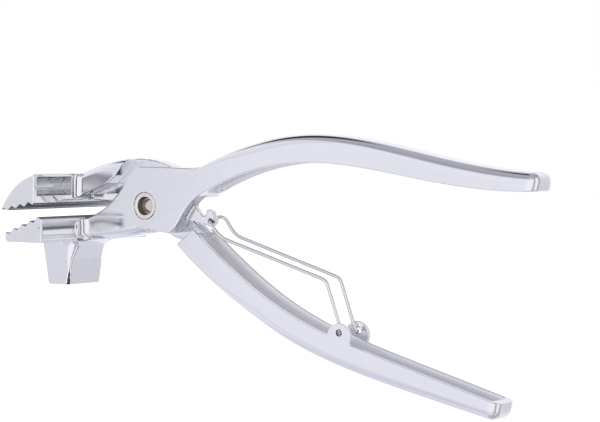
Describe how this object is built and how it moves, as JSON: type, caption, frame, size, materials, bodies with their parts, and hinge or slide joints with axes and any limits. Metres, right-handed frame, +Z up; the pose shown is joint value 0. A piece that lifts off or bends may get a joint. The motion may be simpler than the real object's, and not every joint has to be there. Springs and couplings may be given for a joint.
{
  "type": "canvas pliers",
  "caption": "Canvas stretching pliers with wide toothed jaws, a hammer block under the lower jaw, a hollow rivet pivot, troughed handles and a wire return spring.",
  "frame": {"origin": "centre of the hollow rivet that the levers turn on, in the middle plane", "axes": "+X from the pivot towards the handles, +Y along the rivet, +Z up from the hammer block's face, with the jaws at -X"},
  "size_m": [0.199, 0.06, 0.0909],
  "materials": {
    "lever_chrome": "polished",
    "rivet": "polished",
    "spring_wire": "polished"
  },
  "bodies": {
    "lever_a": {"lower_jaw": "lever_chrome", "hammer_block": "lever_chrome", "near_cheek": "lever_chrome", "upper_handle": "lever_chrome", "spring_lug": "lever_chrome", "pivot_rivet": "rivet"},
    "lever_b": {"upper_jaw": "lever_chrome", "far_cheek": "lever_chrome", "lower_handle": "lever_chrome", "near_spring_ear": "lever_chrome", "far_spring_ear": "lever_chrome", "return_spring": "spring_wire"}
  },
  "joints": [
    {"name": "jaw_pivot", "type": "hinge", "parent": "lever_a", "child": "lever_b", "pos_m": [0, 0, 0], "axis": [0, -1, 0], "range_deg": [0, 10.5], "stiffness_Nm_per_rad": 2.2, "springref_deg": -5.16, "deforming": ["return_spring"]}
  ]
}
